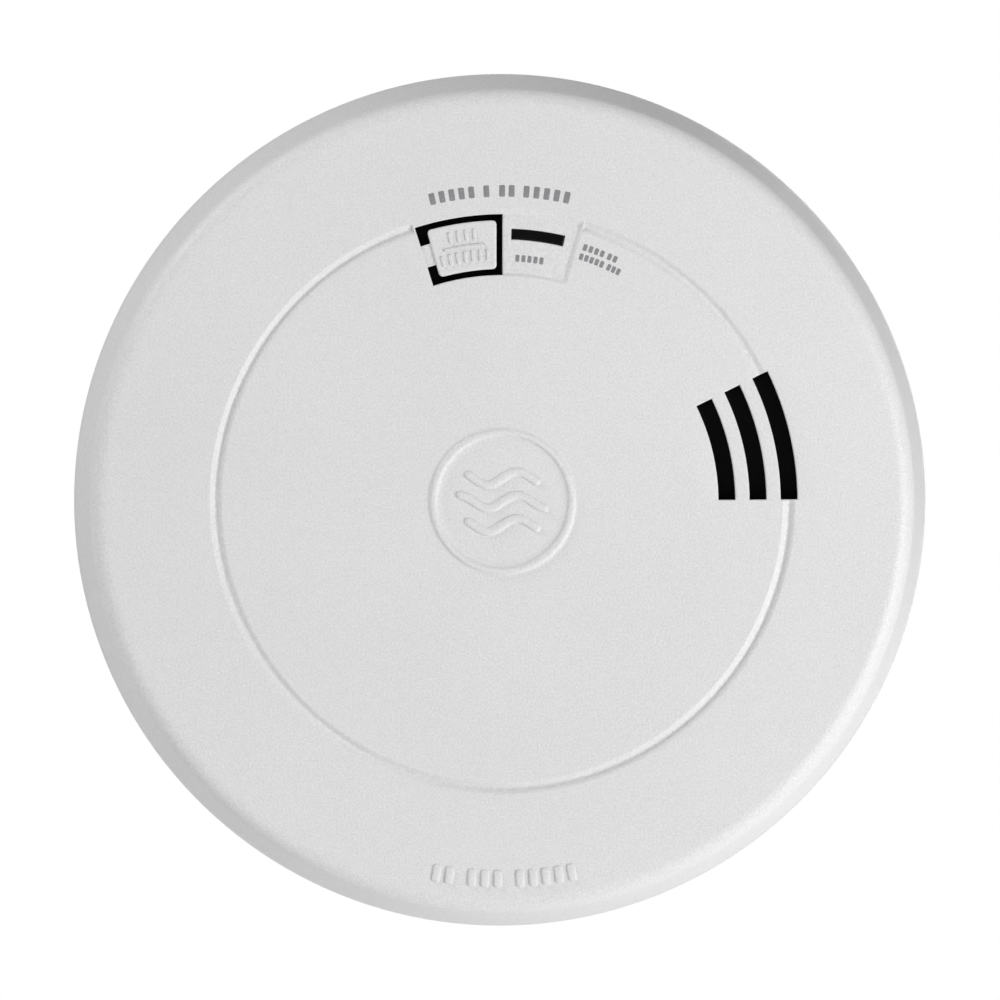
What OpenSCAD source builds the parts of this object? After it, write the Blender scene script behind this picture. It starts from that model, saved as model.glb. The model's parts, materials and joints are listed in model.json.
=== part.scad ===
// Wall or ceiling alarm: a round snap-on unit with a smoke chamber, a gas cell and a horn,
// on a twist-off mounting bracket.
// Each sub-part is drawn as if the wall lay flat: x to the right, y up the wall, z out of it.
// on_wall() then stands it up, so the face looks along -Y and +Z is up the wall.
// Angles called "bearing" are degrees clockwise from the top, as seen from the front.

/* [Front cover] */
// Radius over the cover's rear edge
cover_r = 73.5; // [73:0.1:75]
// Distance from the wall to the face
face_z = 36; // [36:0.1:37]
// Distance from the wall to the cover's rear edge
cover_edge_z = 23; // [22.8:0.1:23.1]
// Slope of the cover's side, in degrees from straight
side_draft = 13.5; // [10:0.5:14]
// Radius of the rounded front edge
front_round = 3.2; // [2.6:0.1:3.4]
// Wall thickness of the mouldings
wall_t = 2.2; // [2:0.1:2.3]
// Radius of the ring groove in the face
groove_r = 49.4; // [49.2:0.1:49.8]
// Width of the ring groove
groove_w = 0.8; // [0.6:0.1:1]
// Depth of the sunk panel beside the button
panel_depth = 0.5; // [0.3:0.1:0.6]
// Height of the raised marks
relief_h = 0.25; // [0.1:0.05:0.4]

/* [Test button] */
// Inner radius of the button's opening
button_r1 = 38.9; // [38.5:0.1:39.2]
// Outer radius of the button's opening
button_r2 = 49.35; // [49.2:0.05:49.5]
// Bearing of the opening's hinge side
button_a1 = -17.8; // [-18.2:0.1:-17.4]
// Width of the open slot around the button
button_gap = 1.05; // [0.9:0.05:1.2]
// Inner radius of the flexible strip
strip_r1 = 42.2; // [42:0.1:42.6]
// Outer radius of the flexible strip
strip_r2 = 46; // [45.6:0.1:46.2]

/* [Horn] */
// Inner radius of the first horn slot
horn_slot_r = 37.1; // [36.8:0.1:37.4]
// Width of a horn slot
horn_slot_w = 2.95; // [2.6:0.05:3.1]
// Distance from one horn slot to the next
horn_slot_pitch = 5.35; // [5.2:0.05:5.5]
// Outer radius of the horn's housing
horn_r = 16.5; // [16:0.1:17]

/* [Rear housing and bracket] */
// Radius of the rear housing's rim
rear_r = 71.5; // [71:0.1:72]
// Distance from the wall to the rear housing's rim
rear_rim_z = 18; // [17.8:0.1:18.2]
// Radius of the mounting bracket
bracket_r = 60; // [59:0.5:61]
// Centre-to-centre distance of the two screw slots
screw_spacing = 83; // [80:0.5:84]
// End-to-end length of a screw slot
screw_slot_len = 14; // [10:0.5:14]
// Width of a screw slot
screw_slot_w = 5; // [4:0.5:5.5]

/* [Electronics] */
// Radius of the circuit board
board_r = 53; // [52:0.5:54]
// Distance from the wall to the board's front side
board_z = 18; // [17.8:0.1:18.2]
// Diameter of a battery cell
cell_d = 17; // [16:0.5:17]
// Length of a battery cell
cell_len = 34; // [32:0.5:34]

/* [Hidden] */
$fn = 96;

// Heights above the wall
floor_z1 = 6.2;
floor_z2 = 8.2;
plate_t = 2;
board_t = 1.6;
board_back = board_z - board_t;
face_in = face_z - wall_t;
panel_z = face_z - panel_depth;
vent_z = 15.2;

// Front cover
arc_z = face_z - front_round;
tangent_z = arc_z + front_round * sin(side_draft);
tangent_r = cover_r - (tangent_z - cover_edge_z) * tan(side_draft);
arc_r = tangent_r - front_round * cos(side_draft);
inner_round = front_round - wall_t;
panel_a = 16;
pad_side_a = -15.6;
pad_mid_a = -8.6;
pad_z = face_in - 0.2;
lens = [45.1, 46.8, 1.95, 13.2];
lens_lip = 0.8;
slot_a = [63.8, 89.6];
emblem_r = 12.6;

// Button post and the switch below it
post = [-4.5, 43.5];
post_r = 1.5;
plunger_r = 1.7;
plunger_top = board_z + 4.9;
strip_t = 0.8;

// Inside
horn = [42.5, 10.5];
horn_bearing = atan2(horn[0], horn[1]);
horn_bar_r = horn_slot_r + (horn_slot_w + horn_slot_pitch) / 2;
chamber = [-24, -2];
chamber_r = 20;
gas = [13, -9];
gas_r = 10;
board_flat_y = -29;
cell_y = -40;
cell_z = floor_z2 + 0.6 + cell_d / 2;
board_posts = [[4, 28], [-48, 8], [44.5, -13], [-12, -25.3]];
case_post_r = 50;
case_post_a = [-36, 36, -118, 118];
led_a = [3.6, 7.6, 11.6];
led_r = 45.9;
switch_y = -13;
lug_a = [0, 90, 180, 270];

white = [0.86, 0.865, 0.86];
black = [0.03, 0.03, 0.03];
steel = [0.7, 0.7, 0.72];
gold = [0.8, 0.66, 0.3];

function bearing(r, a) = [r * sin(a), r * cos(a)];
function arc(centre, r, a1, a2, steps) =
    [for (i = [0:steps]) let (a = a1 + (a2 - a1) * i / steps) centre + r * [cos(a), sin(a)]];
// Quarter oval below its centre, outwards if out is true, otherwise inwards
function oval(centre, rr, rz, steps, out) =
    [for (i = [0:steps]) let (t = (out ? i : steps - i) * 90 / steps)
        [centre[0] + rr * sin(t), centre[1] - rz * cos(t)]];

module on_wall() {
    rotate([90, 0, 0]) children();
}

// Piece of a ring from bearing a1 to bearing a2
module sector(r1, r2, a1, a2, z1, z2) {
    rotate([0, 0, 90 - a2]) rotate_extrude(angle = a2 - a1) translate([r1, z1]) square([r2 - r1, z2 - z1]);
}

module ring(r1, r2, z1, z2) {
    rotate_extrude() translate([r1, z1]) square([r2 - r1, z2 - z1]);
}

module post_at(p, r, z1, z2) {
    translate([p[0], p[1], z1]) cylinder(r = r, h = z2 - z1);
}

module block(centre, size, z1) {
    translate([centre[0] - size[0] / 2, centre[1] - size[1] / 2, z1]) cube(size);
}

// Slot with round ends along x
module long_slot(centre, length, width, z1, z2) {
    for (side = [-1, 1])
        post_at(centre + [side * (length - width) / 2, 0], width / 2, z1, z2);
    block(centre, [length - width, width, z2 - z1], z1);
}

// Pan-head screw with its head's top at z = 0 and its shank along -z
module pan_screw(head_r, head_h, shank_r, shank_len) {
    difference() {
        translate([0, 0, -head_h]) cylinder(r = head_r, h = head_h);
        for (turn = [0, 90])
            rotate([0, 0, turn]) translate([-head_r * 0.6, -0.35, -0.8]) cube([head_r * 1.2, 0.7, 1]);
    }
    translate([0, 0, -head_h - shank_len]) cylinder(r = shank_r, h = shank_len + 0.01);
}

// ---- Bracket ----

module mounting_bracket() {
    color([0.83, 0.835, 0.83]) on_wall() difference() {
        union() {
            ring(24, bracket_r, 0, plate_t);
            ring(bracket_r - 1.6, bracket_r, 0, 4.2);
            ring(24, 25.6, 0, 3.2);
            ring(50, 52, 0, 5.5);
            for (a = lug_a)
                sector(51.8, 54.3, a - 5, a + 5, 4.3, 5.5);
            for (a = [20, 70, 110, 160, 200, 250, 290, 340])
                rotate([0, 0, 90 - a]) translate([25, -0.6, 0]) cube([25.5, 1.2, 3.2]);
            for (side = [-1, 1])
                long_slot([side * screw_spacing / 2, 0], screw_slot_len + 4, screw_slot_w + 4, 0, 3);
        }
        for (side = [-1, 1]) {
            long_slot([side * screw_spacing / 2, 0], screw_slot_len, screw_slot_w, -1, 6);
            block([0, side * 37], [18, 7, 6], -1);
        }
        for (a = [45, 135, 225, 315])
            sector(31, 44, a - 20, a + 20, -1, 6);
        for (a = lug_a)
            sector(52.6, 56.4, a - 7, a + 7, -1, plate_t + 1);
    }
}

module locking_pins() {
    color([0.83, 0.835, 0.83]) on_wall() for (side = [-1, 1]) {
        block([0, side * 37], [13, 2.6, 2], 0);
        block([side * 5.2, side * 37], [2.6, 4.4, 2], 0);
        for (x = [-3, 3])
            block([x, side * 37], [0.8, 7, 0.8], 0.6);
    }
}

// ---- Casing ----

rear_oval_r = rear_r - 57;
rear_oval_z = rear_rim_z - 1.5;

module rear_shell() {
    rotate_extrude() polygon(concat(
        [[0, floor_z1], [54.8, floor_z1], [54.8, 2.6], [57, 2.6]],
        oval([57, rear_oval_z], rear_oval_r, rear_oval_z - 5.5, 12, true),
        [[rear_r, rear_rim_z], [rear_r - wall_t, rear_rim_z]],
        oval([57, rear_oval_z], rear_oval_r - wall_t, rear_oval_z - floor_z2, 12, false),
        [[0, floor_z2]]
    ));
}

module rear_housing() {
    color(white) on_wall() difference() {
        union() {
            rear_shell();
            for (a = lug_a)
                sector(52.3, 55, a - 5, a + 5, 2.9, 4.1);
            for (p = board_posts)
                post_at(p, 3.4, floor_z2 - 0.5, board_back);
            for (a = case_post_a)
                post_at(bearing(case_post_r, a), 4.5, floor_z2 - 0.5, 10.8);
            for (a = [15:30:345])
                rotate([0, 0, a]) translate([63.8, -0.7, 9.5]) cube([4.1, 1.4, vent_z - 9.5]);
        }
        for (p = board_posts)
            post_at(p, 1.1, 9.5, board_back + 1);
        for (a = case_post_a) {
            post_at(bearing(case_post_r, a), 1.7, 5, 12);
            post_at(bearing(case_post_r, a), 3, 5, 8.2);
        }
        block([0, 7], [34, 18, 1.2], floor_z1 - 1);
        block([0, switch_y], [9.4, 3.6, 4], 5);
        block([0, switch_y], [16, 7, 1.7], 5);
        for (x = [-9, 9])
            post_at([x, switch_y], 1.1, 5, 6.9);
        for (i = [-3:3])
            block([i * 4.2, -37], [2, 9, 4], 5);
    }
}

module vent_ring() {
    count = 80;
    slot = 3.4;
    color(white) on_wall() difference() {
        union() {
            ring(66.5, 68.3, vent_z, 24.6);
            ring(66.5, 68.9, vent_z, rear_rim_z - 0.3);
            ring(66.5, 70.6, cover_edge_z + 0.4, 24.6);
        }
        for (i = [0:count - 1])
            rotate([0, 0, (i + 0.5) * 360 / count]) translate([65, -slot / 2, rear_rim_z + 0.2])
                cube([5, slot, cover_edge_z - rear_rim_z - 0.4]);
    }
}

// Fine mesh band behind the slots, drawn plain
module inlet_screen() {
    color([0.45, 0.46, 0.47]) on_wall() ring(66.05, 66.35, rear_rim_z - 0.4, cover_edge_z + 0.6);
}

module cover_shell() {
    rotate_extrude() polygon(concat(
        [[0, face_z]],
        arc([arc_r, arc_z], front_round, 90, side_draft, 10),
        [[cover_r, cover_edge_z], [cover_r - wall_t / cos(side_draft), cover_edge_z]],
        arc([arc_r, arc_z], inner_round, side_draft, 90, 4),
        [[0, face_in]]
    ));
}

// One wavy bar, as a symbol for moving air
module wave(y, half) {
    top = [for (i = [0:16]) let (x = -half + i * half / 8) [x, y + 0.65 + 1.1 * sin(x * 36)]];
    low = [for (i = [16:-1:0]) let (x = -half + i * half / 8) [x, y - 0.65 + 1.1 * sin(x * 36)]];
    translate([0, 0, face_z - 0.1]) linear_extrude(relief_h + 0.1) polygon(concat(top, low));
}

module cover_relief() {
    ring(emblem_r - 1.3, emblem_r, face_z - 0.1, face_z + relief_h);
    wave(4, 6.5);
    wave(0, 8);
    wave(-4, 6.5);
    for (span = [[-11, -7.4], [-5.4, 0.4], [2.4, 11]])
        sector(64.2, 65.4, 180 + span[0], 180 + span[1], face_z - 0.1, face_z + relief_h);
}

module ring_groove() {
    rotate_extrude() polygon([
        [groove_r - groove_w / 2, face_z + 0.01],
        [groove_r, face_z - 0.35],
        [groove_r + groove_w / 2, face_z + 0.01]
    ]);
}

module front_cover() {
    color(white) on_wall() difference() {
        union() {
            cover_shell();
            cover_relief();
            for (a = case_post_a) {
                post_at(bearing(case_post_r, a), 3.2, 11, face_in + 0.5);
                rotate([0, 0, 90 - a]) translate([case_post_r, -0.6, 25]) cube([16, 1.2, face_in - 24.5]);
            }
            translate([horn[0], horn[1], 0]) ring(horn_r + 0.4, horn_r + 1.6, 30, face_in + 0.5);
            for (a = [0:30:330])
                sector(64, 65.2, a - 4, a + 4, 27, face_in + 0.5);
        }
        ring_groove();
        sector(button_r1 + 0.1, button_r2 + 0.05, -0.01, panel_a, panel_z, face_z + 1);
        sector(button_r1, button_r2, button_a1, 0, face_in - 1, face_z + 1);
        sector(lens[0] - 0.05, lens[1] + 0.05, lens[2] - 0.05, lens[3] + 0.05, face_in - 1, face_z + 1);
        for (i = [0:2]) {
            r = horn_slot_r + i * horn_slot_pitch;
            sector(r, r + horn_slot_w, slot_a[0], slot_a[1], face_in - 1, face_z + 1);
        }
        for (a = case_post_a)
            post_at(bearing(case_post_r, a), 1.25, 10, 22);
    }
}

module button_hinge() {
    color(white) on_wall()
        sector(strip_r1, strip_r2, button_a1, pad_side_a - 0.08, panel_z - strip_t, panel_z);
}

module indicator_lens() {
    color([0.05, 0.05, 0.055]) on_wall() {
        sector(lens[0], lens[1], lens[2], lens[3], face_in - 0.1, panel_z);
        sector(lens[0] - lens_lip, lens[1] + lens_lip, lens[2] - 0.8, lens[3] + 0.8, face_in - lens_lip, face_in);
    }
}

module light_baffle() {
    tube = 2.6;
    color(black) on_wall() difference() {
        union() {
            sector(37.4, 50.8, -20, 17.6, 30.7, 32.2);
            difference() {
                sector(37.4, 50.8, -20, 17.6, 32, face_in);
                sector(38.4, 49.9, -18.6, 16.4, 31, face_in + 1);
            }
            for (a = led_a)
                post_at(bearing(led_r, a), tube / 2 + 0.6, board_z + 0.2, 31);
        }
        for (a = led_a)
            post_at(bearing(led_r, a), tube / 2, board_z, 34);
        post_at(post, post_r + 1.6, 30, 34);
    }
}

module rating_label() {
    color([0.92, 0.92, 0.9]) on_wall() block([0, 7], [33.4, 17.4, 0.2], floor_z1);
}

module case_screws() {
    color(steel) on_wall() for (a = case_post_a)
        translate(concat(bearing(case_post_r, a), 6.4)) rotate([180, 0, 0]) pan_screw(2.7, 1.7, 1.2, 12);
}

module board_screws() {
    color(steel) on_wall() for (p = board_posts)
        translate([p[0], p[1], board_z + 1.9]) pan_screw(2.6, 1.8, 1.05, 7.5);
}

// ---- Circuit board and what is soldered to it ----

module circuit_board() {
    color([0.1, 0.35, 0.2]) on_wall() difference() {
        post_at([0, 0], board_r, board_back, board_z);
        translate([-60, board_flat_y - 60, board_back - 1]) cube([120, 60, 4]);
        for (a = case_post_a)
            post_at(bearing(case_post_r, a), 4, board_back - 1, board_z + 1);
        for (p = board_posts)
            post_at(p, 1.4, board_back - 1, board_z + 1);
    }
}

module microcontroller() {
    color([0.08, 0.08, 0.08]) on_wall() {
        block([4, 14], [9, 9, 1.4], board_z + 0.1);
        for (side = [-1, 1], i = [-3:3]) {
            block([4 + side * 5.2, 14 + i * 1.15], [1.6, 0.5, 0.3], board_z);
            block([4 + i * 1.15, 14 + side * 5.2], [0.5, 1.6, 0.3], board_z);
        }
    }
}

module horn_driver() {
    color([0.08, 0.08, 0.08]) on_wall() {
        block([17, 22], [5, 4, 1.5], board_z + 0.1);
        for (side = [-1, 1], i = [-1.5:1.5])
            block([17 + i * 1.27, 22 + side * 2.4], [0.5, 1.4, 0.3], board_z);
    }
}

module boost_inductor() {
    color([0.15, 0.15, 0.16]) on_wall() {
        post_at([19, 33], 4, board_z, board_z + 1);
        post_at([19, 33], 2.6, board_z + 0.9, board_z + 4);
        post_at([19, 33], 4, board_z + 3.9, board_z + 5);
    }
}

module capacitors() {
    color([0.16, 0.2, 0.42]) on_wall() for (p = [[-20, 27], [-28.5, 24]]) {
        post_at(p, 3.2, board_z, board_z + 8.5);
        post_at(p, 3.3, board_z + 0.8, board_z + 7.6);
    }
}

module chip_resistors() {
    color([0.12, 0.12, 0.12]) on_wall() for (i = [0:7], j = [0:1])
        block([-9 + i * 2.6, 22 + j * 12 - (i > 3 && j == 0 ? 0 : 0.4)], [0.9, 1.8, 0.5], board_z);
}

module status_led(i, tint) {
    color(tint) on_wall() {
        post_at(bearing(led_r, led_a[i]), 1, board_z, board_z + 1.6);
        block(bearing(led_r, led_a[i]), [1.5, 1.5, 0.6], board_z);
    }
}

module green_led() {
    status_led(0, [0.2, 0.7, 0.3]);
}

module red_led() {
    status_led(1, [0.8, 0.15, 0.1]);
}

module amber_led() {
    status_led(2, [0.9, 0.55, 0.1]);
}

module switch_body() {
    color([0.12, 0.12, 0.12]) on_wall() difference() {
        block(post, [6, 6, 3.5], board_z);
        post_at(post, plunger_r + 0.1, board_z + 0.8, board_z + 5);
    }
}

// ---- Smoke chamber ----

module at_chamber() {
    translate([chamber[0], chamber[1], 0]) children();
}

chamber_z = board_z + 2;
vane_top = board_z + 11;

module chamber_base() {
    color(black) on_wall() at_chamber() {
        post_at([0, 0], chamber_r, board_z, chamber_z);
        ring(6.2, 7.2, chamber_z - 0.1, chamber_z + 1);
    }
}

module chamber_vanes() {
    count = 20;
    left_out = [0, 6, 7, 19];
    color(black) on_wall() at_chamber() for (i = [0:count - 1])
        if (len(search(i, left_out)) == 0)
            rotate([0, 0, i * 360 / count]) {
                translate([13, -0.5, chamber_z]) cube([5.6, 1, vane_top - chamber_z]);
                translate([12.4, -0.5, chamber_z]) rotate([0, 0, 40]) cube([1, 3.4, vane_top - chamber_z]);
            }
}

module chamber_screen() {
    rows = [0, 1, 2];
    count = 40;
    color([0.5, 0.5, 0.5]) on_wall() at_chamber() difference() {
        ring(19, 19.4, chamber_z, vane_top);
        for (i = [0:count - 1], row = rows)
            rotate([0, 0, i * 360 / count]) translate([18, -1, chamber_z + 0.5 + row * 2.9]) cube([3, 2, 2.2]);
    }
}

module chamber_cap() {
    color(black) on_wall() at_chamber() {
        post_at([0, 0], chamber_r - 0.2, vane_top, vane_top + 1.5);
        ring(3, 4, vane_top + 1.4, vane_top + 2.4);
    }
}

// Bullet-shaped lamp or sensor lying on its side, its tip at the chamber's middle
module bullet(turn) {
    rotate([0, 0, turn]) translate([11, 0, board_z + 5.5]) rotate([0, -90, 0]) {
        cylinder(r = 2.4, h = 4);
        translate([0, 0, 4]) sphere(r = 2.4);
        translate([0, 0, -1]) cylinder(r = 2.8, h = 1.02);
    }
}

module infrared_emitter() {
    color([0.35, 0.4, 0.6]) on_wall() at_chamber() bullet(0);
}

module photodiode() {
    color([0.1, 0.1, 0.12]) on_wall() at_chamber() bullet(126);
}

module photodiode_shield() {
    color(steel) on_wall() at_chamber() rotate([0, 0, 126]) difference() {
        translate([6, -3.2, chamber_z + 1.1]) cube([6.3, 6.4, 6]);
        translate([4, -2.9, chamber_z]) cube([8.1, 5.8, 6.7]);
    }
}

// ---- Gas cell ----

module gas_cell() {
    color(steel) on_wall() difference() {
        post_at(gas, gas_r, board_z + 1.6, board_z + 12);
        translate([gas[0], gas[1], 0]) ring(gas_r - 0.5, gas_r + 1, board_z + 9.6, board_z + 10.2);
    }
}

module gas_cell_cap() {
    color(black) on_wall() difference() {
        post_at(gas, gas_r - 1, board_z + 12, board_z + 13.6);
        for (a = [0:60:300])
            post_at(gas + bearing(4.5, a), 0.7, board_z + 12.6, board_z + 14);
        post_at(gas, 1, board_z + 12.6, board_z + 14);
    }
}

module gas_cell_pins() {
    color(gold) on_wall() for (a = [0, 120, 240])
        post_at(gas + bearing(6.5, a), 0.5, board_z, board_z + 1.6);
}

// ---- Horn ----

module at_horn() {
    translate([horn[0], horn[1], 0]) children();
}

module horn_housing() {
    color(black) on_wall() at_horn() {
        ring(horn_r - 1.7, horn_r, board_z, 31.8);
        ring(horn_r - 3.4, horn_r - 1.6, board_z + 3.5, board_z + 5);
        difference() {
            post_at([0, 0], horn_r - 1.6, 30.3, 31.8);
            for (i = [0, 1], a = [-8, 0, 8])
                post_at(bearing(horn_bar_r + i * horn_slot_pitch, horn_bearing + a) - horn, 0.8, 30, 32);
        }
        for (a = [30, 150, 270])
            sector(4.5, horn_r - 1.6, a - 3, a + 3, 29, 30.4);
    }
}

module horn_disc() {
    color(gold) on_wall() at_horn() post_at([0, 0], horn_r - 1.9, board_z + 5, board_z + 5.3);
}

module horn_ceramic() {
    color([0.85, 0.85, 0.82]) on_wall() at_horn() post_at([0, 0], 10, board_z + 4.75, board_z + 5);
}

module horn_contacts() {
    color(gold) on_wall() at_horn() for (p = [[-4, 0], [-6, 7], [-12.2, -2]])
        post_at(p, 0.5, board_z, norm(p) > 10 ? board_z + 5 : board_z + 4.75);
}

module horn_gasket() {
    color([0.1, 0.1, 0.1]) on_wall() at_horn() ring(horn_r - 1.6, horn_r, 31.8, face_in);
}

// ---- Battery ----

module battery_cells() {
    color([0.3, 0.32, 0.36]) on_wall() for (side = [-1, 1])
        translate([side * (cell_len / 2 + 0.4) - cell_len / 2, cell_y, cell_z]) rotate([0, 90, 0]) {
            cylinder(d = cell_d, h = cell_len - 0.8);
            translate([0, 0, cell_len - 0.85]) cylinder(d = 6, h = 0.85);
        }
}

module battery_cradle() {
    color([0.8, 0.8, 0.78]) on_wall() for (x = [-26, -9, 9, 26]) difference() {
        block([x, cell_y], [3, cell_d + 3, 9], floor_z2);
        translate([x - 3, cell_y, cell_z]) rotate([0, 90, 0]) cylinder(d = cell_d + 0.1, h = 6);
    }
}

tab_x = cell_len + 0.4;

module battery_tabs() {
    color(steel) on_wall() for (side = [-1, 1]) {
        block([side * (tab_x + 0.2), cell_y], [0.4, 6, 6], cell_z - 3);
        block([side * (tab_x + 0.2), cell_y], [0.4, 2, 6], cell_z + 2.9);
    }
}

// Lead from a tab up over the cell and along to the plug
module lead(start_x, y, end_x, z) {
    wire_r = 0.7;
    translate([start_x, cell_y, cell_z + 8.9]) cylinder(r = wire_r, h = z - cell_z - 8.9);
    translate([start_x, cell_y, z]) sphere(r = wire_r);
    translate([start_x, cell_y, z]) rotate([-90, 0, 0]) cylinder(r = wire_r, h = y - cell_y);
    translate([start_x, y, z]) sphere(r = wire_r);
    translate([min(start_x, end_x), y, z]) rotate([0, 90, 0]) cylinder(r = wire_r, h = abs(end_x - start_x));
}

module battery_lead_red() {
    color([0.7, 0.08, 0.06]) on_wall() lead(tab_x + 0.2, -26.5, 27.4, cell_z + 10.4);
}

module battery_lead_black() {
    color([0.06, 0.06, 0.06]) on_wall() lead(-tab_x - 0.2, -23.5, 20.6, cell_z + 12.2);
}

module battery_plug() {
    color([0.9, 0.9, 0.86]) on_wall() difference() {
        block([24, -25], [6.6, 6, 12.4], board_z);
        block([24, -25], [4, 3.4, 6], board_z + 9);
    }
}

// ---- Slide switch at the back ----

module power_switch_body() {
    color([0.1, 0.1, 0.1]) on_wall() difference() {
        block([0, switch_y], [18, 7, 4.6], floor_z2);
        block([0, switch_y], [9.4, 3.6, 3], floor_z2 - 0.5);
    }
}

module power_switch_knob() {
    color([0.85, 0.45, 0.1]) on_wall() {
        block([-2.1, switch_y], [4.6, 3, 3.9], 6.7);
        for (x = [-1, 0, 1])
            block([-2.1 + x * 1.4, switch_y], [0.6, 3, 0.31], 6.4);
    }
}

// ---- Moving front parts ----

module grip_rib(r, a) {
    rotate([0, 0, 90 - a]) translate([r - 1, -0.22, face_z - 0.1]) cube([2, 0.44, relief_h + 0.1]);
}

module test_button() {
    color(white) on_wall() {
        difference() {
            sector(button_r1 + button_gap, button_r2 - button_gap, pad_side_a, 0, pad_z, face_z);
            block([0, 44], [2 * button_gap, 20, 10], 30);
        }
        for (i = [-3:3])
            grip_rib(42.4, pad_mid_a + i * 1.75);
        for (i = [-1.5:1.5])
            grip_rib(46.1, pad_mid_a + i * 1.75);
        sector(44.15, 44.4, pad_mid_a - 3.6, pad_mid_a + 3.6, face_z - 0.1, face_z + relief_h);
        post_at(post, post_r, plunger_top + 0.1, pad_z + 0.1);
    }
}

module switch_plunger() {
    color([0.8, 0.8, 0.78]) on_wall() post_at(post, plunger_r, board_z + 1.6, plunger_top);
}

mounting_bracket();
locking_pins();
rear_housing();
vent_ring();
inlet_screen();
front_cover();
button_hinge();
indicator_lens();
light_baffle();
rating_label();
case_screws();
board_screws();
circuit_board();
microcontroller();
horn_driver();
boost_inductor();
capacitors();
chip_resistors();
green_led();
red_led();
amber_led();
switch_body();
chamber_base();
chamber_vanes();
chamber_screen();
chamber_cap();
infrared_emitter();
photodiode();
photodiode_shield();
gas_cell();
gas_cell_cap();
gas_cell_pins();
horn_housing();
horn_disc();
horn_ceramic();
horn_contacts();
horn_gasket();
battery_cells();
battery_cradle();
battery_tabs();
battery_lead_red();
battery_lead_black();
battery_plug();
power_switch_body();
test_button();
switch_plunger();
power_switch_knob();
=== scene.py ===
import bpy
import bmesh
import json
import math
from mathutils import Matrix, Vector


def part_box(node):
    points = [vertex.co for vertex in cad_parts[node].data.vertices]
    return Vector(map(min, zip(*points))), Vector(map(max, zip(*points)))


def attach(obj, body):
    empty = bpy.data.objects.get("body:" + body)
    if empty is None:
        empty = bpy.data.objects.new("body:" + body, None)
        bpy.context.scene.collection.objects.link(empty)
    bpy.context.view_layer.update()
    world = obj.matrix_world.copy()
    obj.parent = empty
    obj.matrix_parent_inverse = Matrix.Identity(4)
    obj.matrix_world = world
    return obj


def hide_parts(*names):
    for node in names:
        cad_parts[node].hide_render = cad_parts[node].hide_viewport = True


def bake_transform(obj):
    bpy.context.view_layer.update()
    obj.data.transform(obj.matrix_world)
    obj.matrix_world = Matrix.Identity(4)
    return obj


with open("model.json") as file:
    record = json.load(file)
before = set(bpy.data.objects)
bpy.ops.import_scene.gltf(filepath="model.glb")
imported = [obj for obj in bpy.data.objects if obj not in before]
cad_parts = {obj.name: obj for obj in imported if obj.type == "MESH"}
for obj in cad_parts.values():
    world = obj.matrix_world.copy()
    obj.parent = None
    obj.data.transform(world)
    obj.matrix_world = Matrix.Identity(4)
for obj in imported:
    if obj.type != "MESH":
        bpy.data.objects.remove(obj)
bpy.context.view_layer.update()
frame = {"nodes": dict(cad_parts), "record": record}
print("frame loaded:", len(frame["nodes"]), "parts")

mm = 0.001


class Sock:
    # wraps one output socket, so that maths on it adds Math nodes
    def __init__(self, tree, out):
        self.tree = tree
        self.out = out

    def maths(self, op, *others, clamp=False):
        node = self.tree.nodes.new("ShaderNodeMath")
        node.operation = op
        node.use_clamp = clamp
        for slot, value in zip(node.inputs, (self,) + others):
            plug(self.tree, slot, value)
        return Sock(self.tree, node.outputs[0])

    def __add__(self, b):
        return self.maths("ADD", b)

    def __sub__(self, b):
        return self.maths("SUBTRACT", b)

    def __mul__(self, b):
        return self.maths("MULTIPLY", b)

    def __truediv__(self, b):
        return self.maths("DIVIDE", b)

    def __gt__(self, b):
        return self.maths("GREATER_THAN", b)

    def __lt__(self, b):
        return self.maths("LESS_THAN", b)

    def clamped(self):
        return self.maths("ADD", 0.0, clamp=True)


def plug(tree, slot, value):
    if isinstance(value, Sock):
        tree.links.new(value.out, slot)
    elif isinstance(value, (Vector, tuple, list)):
        slot.default_value = tuple(value)
    else:
        slot.default_value = value


class Tree:
    # one node tree, with a single way to add any node
    def __init__(self, tree):
        self.tree = tree

    def add(self, kind, settings=None, out=0, **values):
        # inputs are given by name, or as i0, i1 and so on by number
        node = self.tree.nodes.new(kind)
        for key, value in (settings or {}).items():
            setattr(node, key, value)
        for key, value in values.items():
            numbered = key[0] == "i" and key[1:].isdigit()
            slot = node.inputs[int(key[1:])] if numbered else node.inputs[key.replace("_", " ")]
            plug(self.tree, slot, value)
        return Sock(self.tree, node.outputs[out])


print("helpers ready")

objectCoordinates = 3  # the output's number on a Texture Coordinate node
colourResult = 2  # the output's number on a Mix node that mixes colours


def makeMaterial(name, colour, rough, build=None, **fixed):
    # a Principled material; build(t, place) returns the sockets that vary over the surface
    material = bpy.data.materials.new(name)
    material.use_nodes = True
    t = Tree(material.node_tree)
    shader = t.tree.nodes["Principled BSDF"]
    shader.inputs["Base Color"].default_value = (*colour, 1)
    shader.inputs["Roughness"].default_value = rough
    for key, value in fixed.items():
        shader.inputs[key.replace("_", " ")].default_value = value
    place = t.add("ShaderNodeTexCoord", out=objectCoordinates)
    for key, value in (build(t, place) if build else {}).items():
        t.tree.links.new(value.out, shader.inputs[key])
    return material


def noise(t, place, scale, detail=2.0, rough=0.5):
    return t.add("ShaderNodeTexNoise", Vector=place, Scale=scale, Detail=detail, Roughness=rough)


def stretched(t, place, factors):
    return t.add("ShaderNodeVectorMath", {"operation": "MULTIPLY"}, i0=place, i1=factors)


def cells(t, place, scale, **settings):
    return t.add("ShaderNodeTexVoronoi", settings, Vector=place, Scale=scale)


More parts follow.
